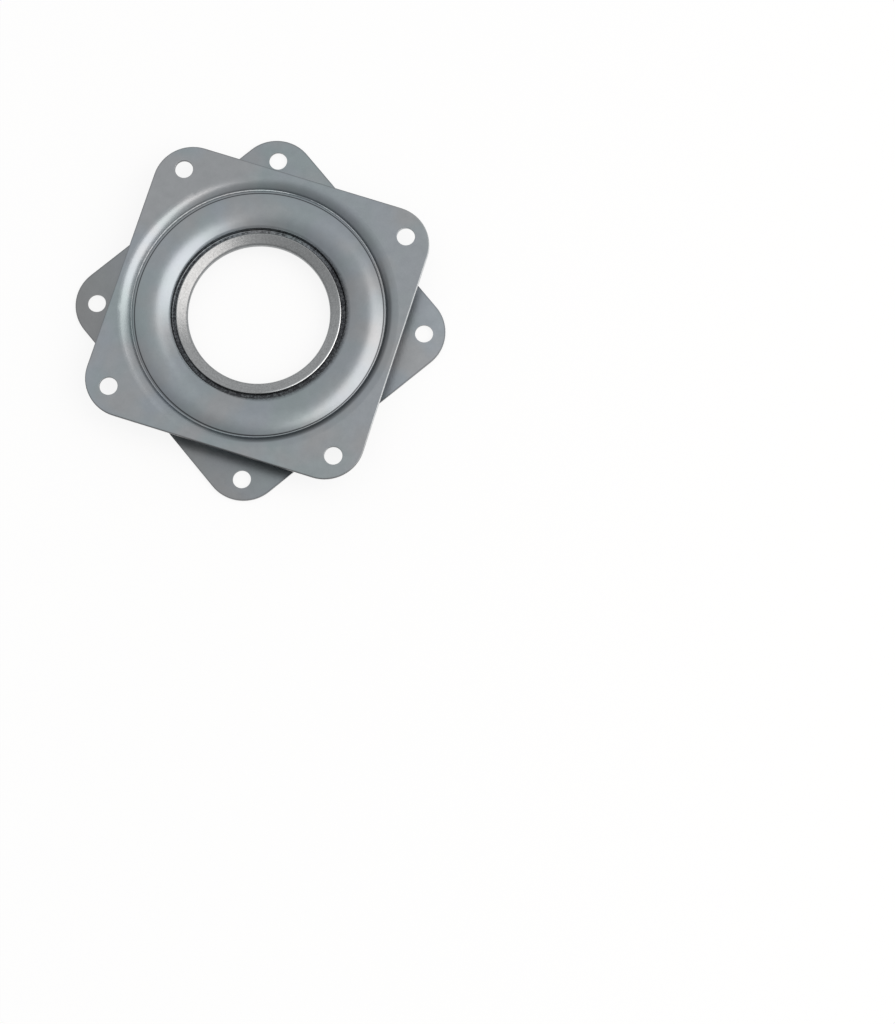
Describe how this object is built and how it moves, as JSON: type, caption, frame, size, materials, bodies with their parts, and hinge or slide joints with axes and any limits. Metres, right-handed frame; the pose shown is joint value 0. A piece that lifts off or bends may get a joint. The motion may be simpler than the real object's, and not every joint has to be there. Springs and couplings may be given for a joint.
{
  "type": "lazy susan bearing",
  "caption": "Square swivel bearing: pressed steel plates with screw holes at their corners turn on a ring of balls round an open centre.",
  "frame": {"origin": "on the axis of rotation, in the plane of the bottom plate's outer face", "axes": "+Z along the axis of rotation, from the bottom plate to the top plate; +X and +Y square to the bottom plate's sides"},
  "size_m": [0.0972, 0.0972, 0.0088],
  "materials": {
    "plate_finish": "satin blue-grey zinc finish on pressed steel",
    "sleeve_steel": "bare bright steel with fine turning marks",
    "ball_steel": "polished",
    "cage_nylon": "natural nylon"
  },
  "bodies": {
    "base": {"bottom_plate": "plate_finish", "centre_sleeve": "sleeve_steel"},
    "top": {"top_plate": "plate_finish"},
    "cage": {"ball_cage": "cage_nylon"},
    "ball_01": {"ball_01": "ball_steel"},
    "ball_02": {"ball_02": "ball_steel"},
    "ball_03": {"ball_03": "ball_steel"},
    "ball_04": {"ball_04": "ball_steel"},
    "ball_05": {"ball_05": "ball_steel"},
    "ball_06": {"ball_06": "ball_steel"},
    "ball_07": {"ball_07": "ball_steel"},
    "ball_08": {"ball_08": "ball_steel"},
    "ball_09": {"ball_09": "ball_steel"},
    "ball_10": {"ball_10": "ball_steel"},
    "ball_11": {"ball_11": "ball_steel"},
    "ball_12": {"ball_12": "ball_steel"},
    "ball_13": {"ball_13": "ball_steel"},
    "ball_14": {"ball_14": "ball_steel"},
    "ball_15": {"ball_15": "ball_steel"},
    "ball_16": {"ball_16": "ball_steel"},
    "ball_17": {"ball_17": "ball_steel"},
    "ball_18": {"ball_18": "ball_steel"}
  },
  "joints": [
    {"name": "top_spin", "type": "hinge", "parent": "base", "child": "top", "pos_m": [0, 0, 0.0044], "axis": [0, 0, 1], "continuous": true},
    {"name": "cage_spin", "type": "hinge", "parent": "base", "child": "cage", "pos_m": [0, 0, 0.0044], "axis": [0, 0, 1], "continuous": true},
    {"name": "ball_01_roll", "type": "hinge", "parent": "cage", "child": "ball_01", "pos_m": [0.02798, 0, 0.0044], "axis": [1, 0, 0], "continuous": true},
    {"name": "ball_02_roll", "type": "hinge", "parent": "cage", "child": "ball_02", "pos_m": [0.02629, 0.00957, 0.0044], "axis": [0.9397, 0.342, 0], "continuous": true},
    {"name": "ball_03_roll", "type": "hinge", "parent": "cage", "child": "ball_03", "pos_m": [0.02144, 0.01799, 0.0044], "axis": [0.766, 0.6428, 0], "continuous": true},
    {"name": "ball_04_roll", "type": "hinge", "parent": "cage", "child": "ball_04", "pos_m": [0.01399, 0.02423, 0.0044], "axis": [0.5, 0.866, 0], "continuous": true},
    {"name": "ball_05_roll", "type": "hinge", "parent": "cage", "child": "ball_05", "pos_m": [0.00486, 0.02756, 0.0044], "axis": [0.1736, 0.9848, 0], "continuous": true},
    {"name": "ball_06_roll", "type": "hinge", "parent": "cage", "child": "ball_06", "pos_m": [-0.00486, 0.02756, 0.0044], "axis": [-0.1736, 0.9848, 0], "continuous": true},
    {"name": "ball_07_roll", "type": "hinge", "parent": "cage", "child": "ball_07", "pos_m": [-0.01399, 0.02423, 0.0044], "axis": [-0.5, 0.866, 0], "continuous": true},
    {"name": "ball_08_roll", "type": "hinge", "parent": "cage", "child": "ball_08", "pos_m": [-0.02144, 0.01799, 0.0044], "axis": [-0.766, 0.6428, 0], "continuous": true},
    {"name": "ball_09_roll", "type": "hinge", "parent": "cage", "child": "ball_09", "pos_m": [-0.02629, 0.00957, 0.0044], "axis": [-0.9397, 0.342, 0], "continuous": true},
    {"name": "ball_10_roll", "type": "hinge", "parent": "cage", "child": "ball_10", "pos_m": [-0.02798, 0, 0.0044], "axis": [-1, 0, 0], "continuous": true},
    {"name": "ball_11_roll", "type": "hinge", "parent": "cage", "child": "ball_11", "pos_m": [-0.02629, -0.00957, 0.0044], "axis": [-0.9397, -0.342, 0], "continuous": true},
    {"name": "ball_12_roll", "type": "hinge", "parent": "cage", "child": "ball_12", "pos_m": [-0.02144, -0.01799, 0.0044], "axis": [-0.766, -0.6428, 0], "continuous": true},
    {"name": "ball_13_roll", "type": "hinge", "parent": "cage", "child": "ball_13", "pos_m": [-0.01399, -0.02423, 0.0044], "axis": [-0.5, -0.866, 0], "continuous": true},
    {"name": "ball_14_roll", "type": "hinge", "parent": "cage", "child": "ball_14", "pos_m": [-0.00486, -0.02756, 0.0044], "axis": [-0.1736, -0.9848, 0], "continuous": true},
    {"name": "ball_15_roll", "type": "hinge", "parent": "cage", "child": "ball_15", "pos_m": [0.00486, -0.02756, 0.0044], "axis": [0.1736, -0.9848, 0], "continuous": true},
    {"name": "ball_16_roll", "type": "hinge", "parent": "cage", "child": "ball_16", "pos_m": [0.01399, -0.02423, 0.0044], "axis": [0.5, -0.866, 0], "continuous": true},
    {"name": "ball_17_roll", "type": "hinge", "parent": "cage", "child": "ball_17", "pos_m": [0.02144, -0.01799, 0.0044], "axis": [0.766, -0.6428, 0], "continuous": true},
    {"name": "ball_18_roll", "type": "hinge", "parent": "cage", "child": "ball_18", "pos_m": [0.02629, -0.00957, 0.0044], "axis": [0.9397, -0.342, 0], "continuous": true}
  ],
  "couplings": [
    {"joint": "cage_spin", "follows": "top_spin", "ratio": 0.5},
    {"joint": "ball_01_roll", "follows": "top_spin", "ratio": -4.4067},
    {"joint": "ball_02_roll", "follows": "top_spin", "ratio": -4.4067},
    {"joint": "ball_03_roll", "follows": "top_spin", "ratio": -4.4067},
    {"joint": "ball_04_roll", "follows": "top_spin", "ratio": -4.4067},
    {"joint": "ball_05_roll", "follows": "top_spin", "ratio": -4.4067},
    {"joint": "ball_06_roll", "follows": "top_spin", "ratio": -4.4067},
    {"joint": "ball_07_roll", "follows": "top_spin", "ratio": -4.4067},
    {"joint": "ball_08_roll", "follows": "top_spin", "ratio": -4.4067},
    {"joint": "ball_09_roll", "follows": "top_spin", "ratio": -4.4067},
    {"joint": "ball_10_roll", "follows": "top_spin", "ratio": -4.4067},
    {"joint": "ball_11_roll", "follows": "top_spin", "ratio": -4.4067},
    {"joint": "ball_12_roll", "follows": "top_spin", "ratio": -4.4067},
    {"joint": "ball_13_roll", "follows": "top_spin", "ratio": -4.4067},
    {"joint": "ball_14_roll", "follows": "top_spin", "ratio": -4.4067},
    {"joint": "ball_15_roll", "follows": "top_spin", "ratio": -4.4067},
    {"joint": "ball_16_roll", "follows": "top_spin", "ratio": -4.4067},
    {"joint": "ball_17_roll", "follows": "top_spin", "ratio": -4.4067},
    {"joint": "ball_18_roll", "follows": "top_spin", "ratio": -4.4067}
  ]
}
